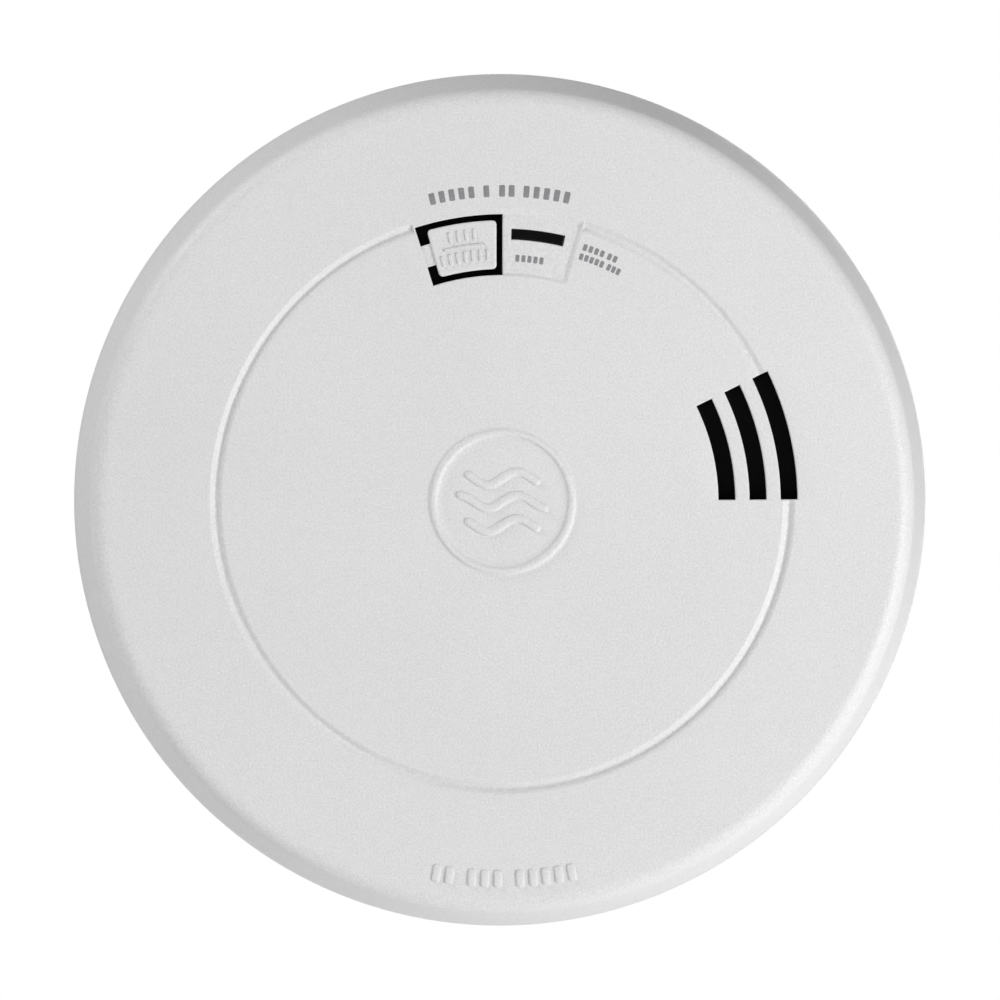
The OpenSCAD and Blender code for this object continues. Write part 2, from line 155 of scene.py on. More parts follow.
def mixColour(t, amount, low, high, mode="MIX"):
    # colour between low and high; either may be a socket
    ends = [end if isinstance(end, Sock) else (*end, 1) for end in (low, high)]
    return t.add("ShaderNodeMix", {"data_type": "RGBA", "blend_type": mode}, out=colourResult,
                 i0=amount, i6=ends[0], i7=ends[1])


def bump(t, height, strength, depth):
    return t.add("ShaderNodeBump", Strength=strength, Distance=depth * mm, Height=height)


def scaled(colour, factor):
    return tuple(min(1, c * factor) for c in colour)


# scales are repeats per metre, bump depths are mm
plasticLook = {
    "cloudScale": 22.0, "speckScale": 900.0, "polishScale": 60.0, "polish": 0.16,
    "cloudShare": 0.15, "speckShare": 0.1, "grainShare": 0.75, "contrast": 2.2, "level": 0.6,
}


def plastic(name, colour, rough=0.45, grain=0.35, grainSize=0.22, spread=0.03, depth=0.03, **fixed):
    # moulded plastic: spark-eroded grain, slight cloudiness, a little handling polish
    look = plasticLook

    def build(t, place):
        cloud = noise(t, place, look["cloudScale"], 3.0)
        speck = noise(t, place, look["speckScale"], 1.0)
        fine = noise(t, place, 1 / (grainSize * mm), 2.0, 0.6)
        shade = cloud * look["cloudShare"] + speck * look["speckShare"] + fine * look["grainShare"]
        polish = noise(t, place, look["polishScale"])
        return {
            "Base Color": mixColour(t, (shade * look["contrast"] - look["level"]).clamped(),
                                    scaled(colour, 1 - spread), scaled(colour, 1 + spread)),
            "Roughness": polish * look["polish"] + (rough - look["polish"] / 2),
            "Normal": bump(t, fine, grain, depth),
        }
    return makeMaterial(name, colour, rough, build, **fixed)


metalLook = {"lineScale": 1400.0, "cloudScale": 130.0, "lineRough": 0.14, "polish": 0.1, "grain": 0.18,
             "depth": 0.02}


def metal(name, colour, rough=0.3, streak=(1.0, 1.0, 1.0), wear=0.12, **fixed):
    # rolled or plated metal: fine streaks stretched along one axis, cloudy tarnish
    look = metalLook

    def build(t, place):
        lines = noise(t, stretched(t, place, streak), look["lineScale"], 3.0, 0.6)
        cloud = noise(t, place, look["cloudScale"], 3.0)
        return {
            "Base Color": mixColour(t, cloud, colour, scaled(colour, 1 - wear * 2)),
            "Roughness": lines * look["lineRough"] + cloud * wear + (rough - look["polish"]),
            "Normal": bump(t, lines, look["grain"], look["depth"]),
        }
    return makeMaterial(name, colour, rough, build, Metallic=1.0, **fixed)


laminateLook = {
    "trackScale": 330.0, "trackRepeat": 9.0, "trackWidth": 0.2, "breakScale": 520.0, "breakShare": 0.42,
    "padScale": 260.0, "padSize": 0.14, "hazeScale": 90.0, "trackTint": 0.8, "hazeTint": 0.25,
    "lighter": 1.7, "lift": 0.01, "gloss": 0.24, "hazeRough": 0.12, "padRise": 0.5, "grain": 0.35,
    "depth": 0.03,
}


def laminate(name, mask, copper):
    # circuit board: solder mask over crossing copper tracks, with small bare pads
    look = laminateLook

    def build(t, place):
        squares = cells(t, place, look["trackScale"], distance="CHEBYCHEV", feature="F1")
        breaks = cells(t, place, look["breakScale"], distance="MANHATTAN", feature="F2")
        stripes = (squares * look["trackRepeat"]).maths("FRACT").maths("COMPARE", 0.5, look["trackWidth"])
        tracks = stripes * (breaks > look["breakShare"])
        pads = cells(t, place, look["padScale"]) < look["padSize"]
        haze = noise(t, place, look["hazeScale"], 3.0)
        lighter = tuple(min(1, c * look["lighter"] + look["lift"]) for c in mask)
        tone = (tracks * look["trackTint"] + haze * look["hazeTint"]).clamped()
        return {
            "Base Color": mixColour(t, pads, mixColour(t, tone, mask, lighter), copper),
            "Roughness": haze * look["hazeRough"] + look["gloss"],
            "Normal": bump(t, tracks + pads * look["padRise"], look["grain"], look["depth"]),
        }
    return makeMaterial(name, mask, 0.3, build, Coat_Weight=0.3)


sleeveLook = {
    "creaseScale": 420.0, "hazeScale": 70.0, "dirt": 0.2, "dirtColour": (0.6, 0.6, 0.6),
    "gloss": 0.18, "hazeRough": 0.15, "grain": 0.25, "depth": 0.03,
}


def sleeve(name, colour, band, axis, period, share):
    # shrink sleeve: glossy film with one printed band per period along an axis, and stretch marks
    look = sleeveLook

    def build(t, place):
        along = t.add("ShaderNodeSeparateXYZ", out=axis, Vector=place)
        stripe = (along / (period * mm)).maths("FRACT").maths("ABSOLUTE") < share
        crease = noise(t, place, look["creaseScale"])
        haze = noise(t, place, look["hazeScale"])
        film = mixColour(t, stripe, colour, band)
        return {
            "Base Color": mixColour(t, haze * look["dirt"], film, look["dirtColour"], "MULTIPLY"),
            "Roughness": haze * look["hazeRough"] + look["gloss"],
            "Normal": bump(t, crease, look["grain"], look["depth"]),
        }
    return makeMaterial(name, colour, 0.25, build, Coat_Weight=0.4)


foamLook = {"poreScale": 2600.0, "cloudScale": 300.0, "lighter": 1.6, "rough": 0.72, "poreRough": 0.2,
            "grain": 0.7, "depth": 0.06}


def foam(name, colour):
    # closed-cell foam: small round pores
    look = foamLook

    def build(t, place):
        pores = cells(t, place, look["poreScale"])
        cloud = noise(t, place, look["cloudScale"], 3.0)
        return {
            "Base Color": mixColour(t, cloud, colour, scaled(colour, look["lighter"])),
            "Roughness": pores * look["poreRough"] + look["rough"],
            "Normal": bump(t, pores, look["grain"], look["depth"]),
        }
    return makeMaterial(name, colour, 0.85, build)


paperLook = {
    "fibreScale": 1500.0, "fibreStretch": (1.0, 1.0, 5.0), "cloudScale": 60.0,
    "yellowing": (1.0, 0.985, 0.95), "cloudShare": 0.6, "fibreShare": 0.4, "rough": 0.42, "fibreRough": 0.15,
    "grain": 0.12, "depth": 0.01,
}


def paper(name, colour):
    # coated label stock: faint fibres and a slight yellowing
    look = paperLook

    def build(t, place):
        fibre = noise(t, stretched(t, place, look["fibreStretch"]), look["fibreScale"], 3.0)
        cloud = noise(t, place, look["cloudScale"])
        aged = tuple(c * k for c, k in zip(colour, look["yellowing"]))
        tone = (cloud * look["cloudShare"] + fibre * look["fibreShare"]).clamped()
        return {
            "Base Color": mixColour(t, tone, colour, aged),
            "Roughness": fibre * look["fibreRough"] + look["rough"],
            "Normal": bump(t, fibre, look["grain"], look["depth"]),
        }
    return makeMaterial(name, colour, 0.5, build)


lampLook = {"flowScale": 900.0, "core": 0.55, "gloss": 0.06, "flowRough": 0.1, "grain": 0.1, "depth": 0.02}


def lamp(name, colour):
    # tinted clear epoxy of a small lamp: deeper colour in the core, faint flow marks
    look = lampLook

    def build(t, place):
        flow = noise(t, place, look["flowScale"])
        return {
            "Base Color": mixColour(t, flow, scaled(colour, look["core"]), colour),
            "Roughness": flow * look["flowRough"] + look["gloss"],
            "Normal": bump(t, flow, look["grain"], look["depth"]),
        }
    return makeMaterial(name, colour, 0.1, build, Transmission_Weight=0.35, IOR=1.5)


inkLook = {"patchScale": 2200.0, "thin": 0.8, "thick": 1.25, "rough": 0.4, "patchRough": 0.2}


def ink(name, colour):
    # thin pad-printed ink, a little uneven in density
    look = inkLook

    def build(t, place):
        patch = noise(t, place, look["patchScale"])
        return {
            "Base Color": mixColour(t, patch, scaled(colour, look["thin"]), scaled(colour, look["thick"])),
            "Roughness": patch * look["patchRough"] + look["rough"],
        }
    return makeMaterial(name, colour, 0.5, build)


white = plastic("whiteCasing", (0.732, 0.732, 0.734), rough=0.42, grain=1.0, grainSize=0.36, spread=0.12,
                depth=0.09)
finishes = {
    "white_plastic": white,
    "bracket_plastic": plastic("bracketWhite", (0.70, 0.70, 0.695), rough=0.5, grain=0.2, grainSize=0.3),
    "black_plastic": plastic("blackPlastic", (0.003, 0.003, 0.0033), rough=0.6, grain=0.2, spread=0.2,
                             Specular_IOR_Level=0.12),
    "smoked_lens": plastic("smokedLens", (0.003, 0.003, 0.0035), rough=0.2, grain=0.03, grainSize=0.6,
                           spread=0.3, Specular_IOR_Level=0.15),
    "label_paper": paper("labelPaper", (0.78, 0.78, 0.76)),
    "screw_steel": metal("zincPlate", (0.62, 0.63, 0.66), rough=0.28),
    "board_laminate": laminate("boardLaminate", (0.012, 0.105, 0.04), (0.75, 0.66, 0.5)),
    "chip_black": plastic("mouldedEpoxy", (0.012, 0.012, 0.013), rough=0.55, grain=0.5, grainSize=0.08,
                          spread=0.25),
    "capacitor_sleeve": sleeve("capacitorSleeve", (0.02, 0.03, 0.12), (0.5, 0.52, 0.56), 0, 8, 0.12),
    "green_lamp": lamp("greenLamp", (0.08, 0.6, 0.16)),
    "red_lamp": lamp("redLamp", (0.7, 0.05, 0.04)),
    "amber_lamp": lamp("amberLamp", (0.8, 0.36, 0.04)),
    "sensor_lens": lamp("sensorLens", (0.05, 0.06, 0.16)),
    "sheet_steel": metal("tinnedSteel", (0.66, 0.66, 0.68), rough=0.24, streak=(0.1, 1.0, 1.0)),
    "screen_steel": metal("screenSteel", (0.42, 0.42, 0.43), rough=0.4, streak=(1.0, 0.2, 1.0)),
    "gold_pins": metal("goldPins", (0.86, 0.62, 0.26), rough=0.22),
    "horn_brass": metal("hornBrass", (0.74, 0.55, 0.24), rough=0.26, streak=(0.05, 1.0, 1.0)),
    "piezo_ceramic": plastic("silveredCeramic", (0.62, 0.62, 0.6), rough=0.35, grain=0.5, grainSize=0.1,
                             spread=0.08, Metallic=0.5),
    "gasket_foam": foam("gasketFoam", (0.02, 0.02, 0.021)),
    "cell_wrap": sleeve("cellWrap", (0.03, 0.035, 0.05), (0.34, 0.36, 0.4), 0, 27, 0.2),
    "natural_plastic": plastic("naturalNylon", (0.62, 0.59, 0.5), rough=0.42, grain=0.15, spread=0.05,
                               Subsurface_Weight=0.1),
    "red_insulation": plastic("redInsulation", (0.45, 0.02, 0.015), rough=0.38, grain=0.1, spread=0.12),
    "black_insulation": plastic("blackInsulation", (0.012, 0.012, 0.012), rough=0.38, grain=0.1, spread=0.2),
    "orange_plastic": plastic("orangePlastic", (0.72, 0.2, 0.02), rough=0.4, grain=0.2, spread=0.05),
}
greyInk = ink("greyInk", (0.24, 0.24, 0.25))
labelInk = ink("labelInk", (0.035, 0.035, 0.04))

for entry in frame["record"]["subparts"]:
    for holder in frame["nodes"][entry["node"]].material_slots:
        holder.material = finishes[entry["material_slot"]]
print("finishes ready:", len(finishes))


def place(r, bearing, z):
    # a point on the alarm: radius and bearing (degrees clockwise from the top) in mm, z mm out of the wall
    a = math.radians(bearing)
    return (r * math.sin(a) * mm, -z * mm, r * math.cos(a) * mm)


def arcLength(degrees, r):
    return degrees * math.radians(1) * r


def soft(x, low, high):
    # smooth step from 0 at low to 1 at high
    t = min(1.0, max(0.0, (x - low) / (high - low)))
    return t * t * (3 - 2 * t)


def between(low, high, steps):
    return [low + (high - low) * i / steps for i in range(steps + 1)]


def tidyStations(edges, others, gap):
    # sorted values with near doubles dropped; the edges always stay
    edges = sorted({round(v, 5) for v in edges})
    kept = []
    for v in sorted({round(v, 5) for v in others}):
        if all(abs(v - e) > gap for e in edges + kept):
            kept.append(v)
    return sorted(edges + kept)


def addPiece(name, mesh, material, body, replaces=(), smooth=38):
    piece = bpy.data.objects.new(name, mesh)
    bpy.context.scene.collection.objects.link(piece)
    mesh.materials.clear()
    mesh.materials.append(material)
    mesh.shade_smooth()
    mesh.set_sharp_from_angle(angle=math.radians(smooth))
    if body:
        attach(piece, body)
    for node in replaces:
        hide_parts(node)
    return piece


def closedMesh(name, verts, faces):
    mesh = bpy.data.meshes.new(name)
    mesh.from_pydata(verts, [], faces)
    work = bmesh.new()
    work.from_mesh(mesh)
    bmesh.ops.remove_doubles(work, verts=work.verts, dist=1e-7)
    bmesh.ops.recalc_face_normals(work, faces=work.faces)
    work.to_mesh(mesh)
    work.free()
    return mesh


def meshOf(name, parts):
    verts, faces = [], []
    for points, loops in parts:
        start = len(verts)
        verts += points
        faces += [tuple(start + k for k in loop) for loop in loops]
    return closedMesh(name, verts, faces)


def lidded(rings):
    # closes a stack of equal rings of points with a face at each end
    n = len(rings[0])
    verts = [p for ring in rings for p in ring]
    faces = []
    for level in range(len(rings) - 1):
        low = level * n
        high = low + n
        faces += [(low + k, low + (k + 1) % n, high + (k + 1) % n, high + k) for k in range(n)]
    return verts, faces + [tuple(range(n)), tuple(range(len(verts) - n, len(verts)))]


def roundCorner(across, along, corner):
    # pulls a point near a square corner, given by its gaps to both sides, onto concentric arcs
    a = corner - across
    b = corner - along
    if a <= 0 or b <= 0:
        return 0.0, 0.0
    shrink = 1 - max(a, b) / math.hypot(a, b)
    return a * shrink, b * shrink


edgeShares = (0, 0.04, 0.12, 0.25, 0.5, 1.0)  # where the points of a rounded edge lie, closest at its start


def arcBlock(inner, outer, first, last, top, base, edge, uSteps=16, vSteps=10, corner=0.0):
    # a block between two radii and two bearings (functions of the radius), its front edges rounded; all in mm
    depth = outer - inner
    middle = (inner + outer) / 2
    width = arcLength(last(middle) - first(middle), middle)
    near = [edge * k for k in edgeShares]
    vs = near + between(edge * 2, depth - edge * 2, vSteps) + [depth - k for k in reversed(near)]
    us = [k / width for k in near] + between(edge * 2 / width, 1 - edge * 2 / width, uSteps)
    us += [1 - k / width for k in reversed(near)]
    verts = []
    for v in vs:
        for u in us:
            span = arcLength(last(inner + v) - first(inner + v), inner + v)
            across = min(u, 1 - u) * span
            along = min(v, depth - v)
            shift, lift = roundCorner(across, along, corner)
            r = inner + v + (lift if v < depth / 2 else -lift)
            share = u + (shift if u < 0.5 else -shift) / span
            gap = max(0, edge - min(across, along))
            z = top - edge + math.sqrt(max(0, edge ** 2 - gap ** 2))
            verts.append(place(r, first(r) + (last(r) - first(r)) * share, z))
    n = len(vs)
    m = len(us)
    faces = [(i * m + j, i * m + j + 1, (i + 1) * m + j + 1, (i + 1) * m + j)
             for i in range(n - 1) for j in range(m - 1)]
    rim = list(range(m)) + [i * m + m - 1 for i in range(1, n)]
    rim += [(n - 1) * m + j for j in range(m - 2, -1, -1)] + [i * m for i in range(n - 2, 0, -1)]
    start = len(verts)
    count = len(rim)
    verts += [(verts[k][0], -base * mm, verts[k][2]) for k in rim]
    faces += [(rim[k], rim[(k + 1) % count], start + (k + 1) % count, start + k) for k in range(count)]
    return verts, faces + [tuple(start + k for k in range(count))]


def stamp(name, width, height, thick, corner, edge):
    # one small rounded tile, its foot at the origin's plane and its front towards -Y; all in mm
    cornerSteps = 3
    edgeTurn = 0.3

    def outline(inset):
        points = []
        for k, (sx, sz) in enumerate(((1, 1), (-1, 1), (-1, -1), (1, -1))):
            for step in range(cornerSteps + 1):
                a = math.pi / 2 * (k + step / cornerSteps)
                points.append((sx * (width / 2 - corner) + (corner - inset) * math.cos(a),
                               sz * (height / 2 - corner) + (corner - inset) * math.sin(a)))
        return points
    levels = ((0, 0), (0, thick - edge), (edge * edgeTurn, thick - edge * edgeTurn), (edge, thick))
    rings = [[(x * mm, -y * mm, z * mm) for x, z in outline(inset)] for inset, y in levels]
    return closedMesh(name, *lidded(rings))


def newTree(name, inputs):
    # a geometry tree with a Geometry input and the named inputs, each as (type, value)
    group = bpy.data.node_groups.new(name, "GeometryNodeTree")
    face = group.interface
    face.new_socket("Geometry", in_out="OUTPUT", socket_type="NodeSocketGeometry")
    face.new_socket("Geometry", in_out="INPUT", socket_type="NodeSocketGeometry")
    for label, (kind, value) in inputs.items():
        face.new_socket(label, in_out="INPUT", socket_type="NodeSocket" + kind).default_value = value
    source = group.nodes.new("NodeGroupInput")
    return Tree(group), {out.name: Sock(group, out) for out in source.outputs if out.name}


def endTree(t, geometry, material):
    real = t.add("GeometryNodeRealizeInstances", Geometry=geometry)
    painted = t.add("GeometryNodeSetMaterial", Geometry=real, Material=material)
    output = t.tree.nodes.new("NodeGroupOutput")
    t.tree.links.new(painted.out, output.inputs[0])
    return t.tree


def arcRowTree(material):
    # copies of the mesh along an arc about the alarm's axis, each turned to its own bearing
    t, given = newTree("arcRow", {"Count": ("Int", 5), "Radius": ("Float", 0.05), "First": ("Float", 0.0),
                                  "Step": ("Float", 1.0), "Out": ("Float", 0.036)})
    bearing = (t.add("GeometryNodeInputIndex") * given["Step"] + given["First"]).maths("RADIANS")
    spot = t.add("ShaderNodeCombineXYZ", X=bearing.maths("SINE") * given["Radius"], Y=given["Out"] * -1.0,
                 Z=bearing.maths("COSINE") * given["Radius"])
    points = t.add("GeometryNodePoints", Count=given["Count"], Position=spot)
    turn = t.add("ShaderNodeCombineXYZ", Y=bearing)
    copies = t.add("GeometryNodeInstanceOnPoints", Points=points, Instance=given["Geometry"], Rotation=turn)
    return endTree(t, copies, material)


def ringStackTree(material):
    # round wires about the alarm's axis, stacked away from the wall
    t, given = newTree("ringStack", {"Count": ("Int", 5), "Radius": ("Float", 0.05), "Low": ("Float", 0.0),
                                     "Gap": ("Float", 0.001), "Wire": ("Float", 0.0001),
                                     "Segments": ("Int", 160), "Sides": ("Int", 5)})
    circle = t.add("GeometryNodeCurvePrimitiveCircle", Resolution=given["Segments"], Radius=given["Radius"])
    wire = t.add("GeometryNodeCurvePrimitiveCircle", Resolution=given["Sides"], Radius=given["Wire"])
    ring = t.add("GeometryNodeCurveToMesh", Curve=circle, Profile_Curve=wire)
    upright = t.add("GeometryNodeTransform", Geometry=ring, Rotation=(math.pi / 2, 0, 0))
    out = (t.add("GeometryNodeInputIndex") * given["Gap"] + given["Low"]) * -1.0
    points = t.add("GeometryNodePoints", Count=given["Count"], Position=t.add("ShaderNodeCombineXYZ", Y=out))
    copies = t.add("GeometryNodeInstanceOnPoints", Points=points, Instance=upright)
    return endTree(t, copies, material)


def wordRowsTree(material, shortest, longest):
    # straight rows of blank bars of uneven length, as placeholders for printed lines
    t, given = newTree("wordRows", {"Rows": ("Int", 4), "Words": ("Int", 6), "Left": ("Float", 0.0),
                                    "Top": ("Float", 0.0), "Pitch": ("Float", 0.004), "Gap": ("Float", 0.002),
                                    "Out": ("Float", 0.006), "Seed": ("Int", 3)})
    index = t.add("GeometryNodeInputIndex")
    row = (index / given["Words"]).maths("FLOOR")
    column = index - row * given["Words"]
    spot = t.add("ShaderNodeCombineXYZ", X=column * given["Pitch"] + given["Left"], Y=given["Out"] * -1.0,
                 Z=given["Top"] - row * given["Gap"])
    points = t.add("GeometryNodePoints", Count=given["Rows"] * given["Words"], Position=spot)
    length = t.add("FunctionNodeRandomValue", {"data_type": "FLOAT"}, out=1, i2=shortest, i3=longest,
                   i8=given["Seed"])
    scale = t.add("ShaderNodeCombineXYZ", X=length, Y=1.0, Z=1.0)
    copies = t.add("GeometryNodeInstanceOnPoints", Points=points, Instance=given["Geometry"], Scale=scale)
    return endTree(t, copies, material)


def grow(name, mesh, tree, **sizes):
    # runs a geometry tree on a small mesh and returns the result as a plain mesh
    carrier = bpy.data.objects.new(name, mesh)
    bpy.context.scene.collection.objects.link(carrier)
    modifier = carrier.modifiers.new("tree", "NODES")
    modifier.node_group = tree
    for item in tree.interface.items_tree:
        if item.in_out == "INPUT" and item.name in sizes:
            modifier[item.identifier] = sizes[item.name]
    carrier.update_tag()
    ready = carrier.evaluated_get(bpy.context.evaluated_depsgraph_get())
    result = bpy.data.meshes.new_from_object(ready)
    bpy.data.objects.remove(carrier)
    return result


def mergeMeshes(name, meshes):
    work = bmesh.new()
    for mesh in meshes:
        work.from_mesh(mesh)
    merged = bpy.data.meshes.new(name)
    work.to_mesh(merged)
    work.free()
    return merged


def frontOf(node):
    # how far the node's front stands out of the wall, in mm
    return -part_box(node)[0][1] / mm


def backOf(node):
    return -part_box(node)[1][1] / mm


print("geometry helpers ready")

# zones are (inner radius, outer radius, first bearing, last bearing), in mm and degrees
cover = {
    "rimRadius": 73.5, "edgeHeight": 23.0, "face": 36.0, "inside": 33.8, "draft": 13.5, "round": 3.2,
    "wall": 2.2,
    "groove": 49.25, "grooveHalf": 1.15, "grooveDepth": 0.62, "grooveFloor": 0.04, "grooveStop": 0.3,
    "panel": (39.0, 49.75, 0.0, 16.0), "panelDepth": 0.5, "panelEdge": 0.55, "panelBrow": 1.3,
    "button": (38.9, 49.35, -17.8, 0.0),
    "window": (45.05, 46.85, 1.9, 13.25),
    "hornSlots": [(37.1 + i * 5.35, 40.05 + i * 5.35, 63.8, 89.6) for i in range(3)],
    "emblem": (11.2, 12.65), "relief": 0.45, "reliefEdge": 0.42,
    "holeRound": 0.22, "holeShares": (0.08, 0.3, 0.6, 1.0),
    # the rim's lower lip, as offsets from its foot: out, up
    "lip": [(-0.08, 0.35), (-0.10, 0.12), (-0.32, 0.0)], "rimStart": 0.12, "footRound": 0.3,
    # where the mesh has its rings and spokes: from, to, steps
    "rings": [(0, 10, 4), (13.2, 38, 5), (50.9, 63.6, 4), (66, 67.6, 2), (38.65, 39.35, 6), (40, 48, 10),
              (48.0, 50.6, 26)],
    "spokes": [(-88, 270, 179), (15.4, 16.6, 12), (-19, 17.5, 60)],
    "underRings": (0.0, 13.2, 25.0, 60.0), "ringGap": 0.02, "spokeGap": 0.03,
}
holes = [cover["button"], cover["window"]] + cover["hornSlots"]


def wrapped(a):
    # the bearing counted from -90, so that no zone straddles the turn
    return (a + 90) % 360 - 90


def outside(r, a, zone):
    # distance in mm from a point to a zone
    r1, r2, a1, a2 = zone
    return math.hypot(max(r1 - r, 0, r - r2), arcLength(max(a1 - a, 0, a - a2), r))


def faceHeight(r, a):
    c = cover
    z = c["face"]
    bearing = wrapped(a)
    d = abs(r - c["groove"])
    stopped = c["button"][2] - c["grooveStop"] < bearing < c["panel"][3] + c["grooveStop"]
    if d < c["grooveHalf"] and not stopped:
        z -= c["grooveDepth"] * (1 - soft(d, c["grooveFloor"], c["grooveHalf"]))
    r1, r2, a1, a2 = c["panel"]
    if bearing >= a1 - 0.001:
        edge = c["panelEdge"] / 2
        brow = c["panelBrow"] / 2
        z -= c["panelDepth"] * soft(r, r1 - edge, r1 + edge) * soft(-r, -r2 - brow, -r2 + brow) \
            * soft(arcLength(a2 - bearing, r), -edge, edge)
    inner, outer = c["emblem"]
    z += c["relief"] * soft(r, inner, inner + c["reliefEdge"]) * soft(-r, -outer, -outer + c["reliefEdge"])
    for hole in holes:
        gap = outside(r, bearing, hole)
        if gap < c["holeRound"]:
            z -= c["holeRound"] - math.sqrt(max(0, c["holeRound"] ** 2 - (c["holeRound"] - gap) ** 2))
    return z


def coverStations():
    c = cover
    inner, outer = c["emblem"]
    ringEdges = [inner, outer]
    rings = [r for span in c["rings"] for r in between(*span)]
    rings += between(inner, inner + c["reliefEdge"], 4) + between(outer - c["reliefEdge"], outer, 4)
    for hole in holes:
        for r, way in ((hole[0], -1), (hole[1], 1)):
            ringEdges.append(r)
            rings += [r + way * c["holeRound"] * k for k in c["holeShares"]]
    spokeEdges = []
    spokes = [a for span in c["spokes"] for a in between(*span)]
    for zone in holes + [c["panel"]]:
        step = math.degrees(c["holeRound"] / ((zone[0] + zone[1]) / 2))
        for a, way in ((zone[2], -1), (zone[3], 1)):
            (spokeEdges if zone in holes else spokes).append(a)
            spokes += [a + way * step * k for k in c["holeShares"]]
    return tidyStations(ringEdges, rings, c["ringGap"]), tidyStations(spokeEdges, spokes, c["spokeGap"])


def coverProfile(rings):
    # the section from the centre of the face, round the rim and back under it, as (radius, height, kind)
    c = cover
    draft = math.radians(c["draft"])
    foot = c["edgeHeight"]
    arcHeight = c["face"] - c["round"]
    touchHeight = arcHeight + c["round"] * math.sin(draft)
    touchRadius = c["rimRadius"] - (touchHeight - foot) * math.tan(draft)
    arcRadius = touchRadius - c["round"] * math.cos(draft)

    def bend(radius, angles):
        return [(arcRadius + radius * math.cos(a), arcHeight + radius * math.sin(a), "side") for a in angles]
    profile = [(r, None, "face") for r in rings if r < arcRadius]
    profile += bend(c["round"], between(math.pi / 2, draft, 12))
    lipTop = foot + c["lip"][0][1]
    for k in between(c["rimStart"], 1, 4)[:-1]:
        profile.append((touchRadius + (c["rimRadius"] - touchRadius) * k,
                        touchHeight + (lipTop - touchHeight) * k, "side"))
    profile += [(c["rimRadius"] + out, foot + up, "side") for out, up in c["lip"]]
    inner = c["rimRadius"] - c["wall"] / math.cos(draft)
    profile += [(inner + c["footRound"], foot, "side"), (inner, foot + c["footRound"], "side")]
    profile += bend(c["round"] - c["wall"], between(draft, math.pi / 2, 4))
    under = sorted({r for hole in holes for r in hole[:2]} | set(c["underRings"]))
    return profile + [(r, c["inside"], "under") for r in reversed(under)]


def revolve(profile, spokes):
    # turns the profile about the alarm's axis, leaves the holes out and walls them
    n = len(profile)
    m = len(spokes)
    verts = [place(r, a, faceHeight(r, a) if kind == "face" else z) for r, z, kind in profile for a in spokes]
    faces = []

    def at(i, j):
        return i * m + j % m

    mids = [wrapped((a + b) / 2) for a, b in zip(spokes, spokes[1:] + [spokes[0] + 360])]
    for i in range(n - 1):
        r = (profile[i][0] + profile[i + 1][0]) / 2
        flat = profile[i][2] == profile[i + 1][2] and profile[i][2] in ("face", "under")
        for j in range(m):
            if not (flat and any(h[0] < r < h[1] and h[2] < mids[j] < h[3] for h in holes)):
                faces.append((at(i, j), at(i, j + 1), at(i + 1, j + 1), at(i + 1, j)))
    top = {round(p[0], 4): i for i, p in enumerate(profile) if p[2] == "face"}
    low = {round(p[0], 4): i for i, p in enumerate(profile) if p[2] == "under"}
    for h in holes:
        js = [j for j in range(m) if h[2] < mids[j] < h[3]]
        for r in h[:2]:
            i = top[round(r, 4)]
            k = low[round(r, 4)]
            for j in js:
                faces.append((at(i, j), at(i, j + 1), at(k, j + 1), at(k, j)))
        i1, i2 = sorted(top[round(r, 4)] for r in h[:2])
        k1, k2 = sorted(low[round(r, 4)] for r in h[:2])
        for j in (js[0], js[-1] + 1):
            faces.append(tuple([at(i, j) for i in range(i1, i2 + 1)] + [at(k, j) for k in range(k1, k2 + 1)]))
    return verts, faces


def buildCover():
    rings, spokes = coverStations()
    mesh = closedMesh("coverShell", *revolve(coverProfile(rings), spokes))
    addPiece("coverShell", mesh, white, "alarm", ["front_cover"])
    print("front cover:", len(mesh.polygons), "faces", len(rings), "x", len(spokes))


buildCover()

pad = {
    "inner": 39.95, "outer": 48.3, "hingeBearing": -15.6, "rightX": -1.05, "face": 36.0, "base": 33.6,
    "edgeRound": 0.32, "corner": 0.7, "middle": -8.6, "sunk": 0.05,
    "ribWidth": 0.56, "ribLength": 2.0, "ribHeight": 0.3, "ribStep": 1.75, "ribEdge": 0.12,
    "rows": [(42.4, 7), (46.1, 4)],
    "lineInner": 44.05, "lineOuter": 44.5, "lineHalf": 4.6, "lineEdge": 0.16,
    "postX": -4.5, "postUp": 43.5, "postRadius": 1.5, "postEnd": 23.0, "postLap": 0.2, "postSides": 24,
}


def padRight(r):
    # bearing of the pad's straight right side at a radius
    return -math.degrees(math.asin(-pad["rightX"] / r))


def buildPost():
    turns = [2 * math.pi * k / pad["postSides"] for k in range(pad["postSides"])]
    ring = [(pad["postX"] + pad["postRadius"] * math.cos(a), pad["postUp"] + pad["postRadius"] * math.sin(a))
            for a in turns]
    return lidded([[(x * mm, -z * mm, up * mm) for x, up in ring]
                   for z in (pad["postEnd"], pad["base"] + pad["postLap"])])


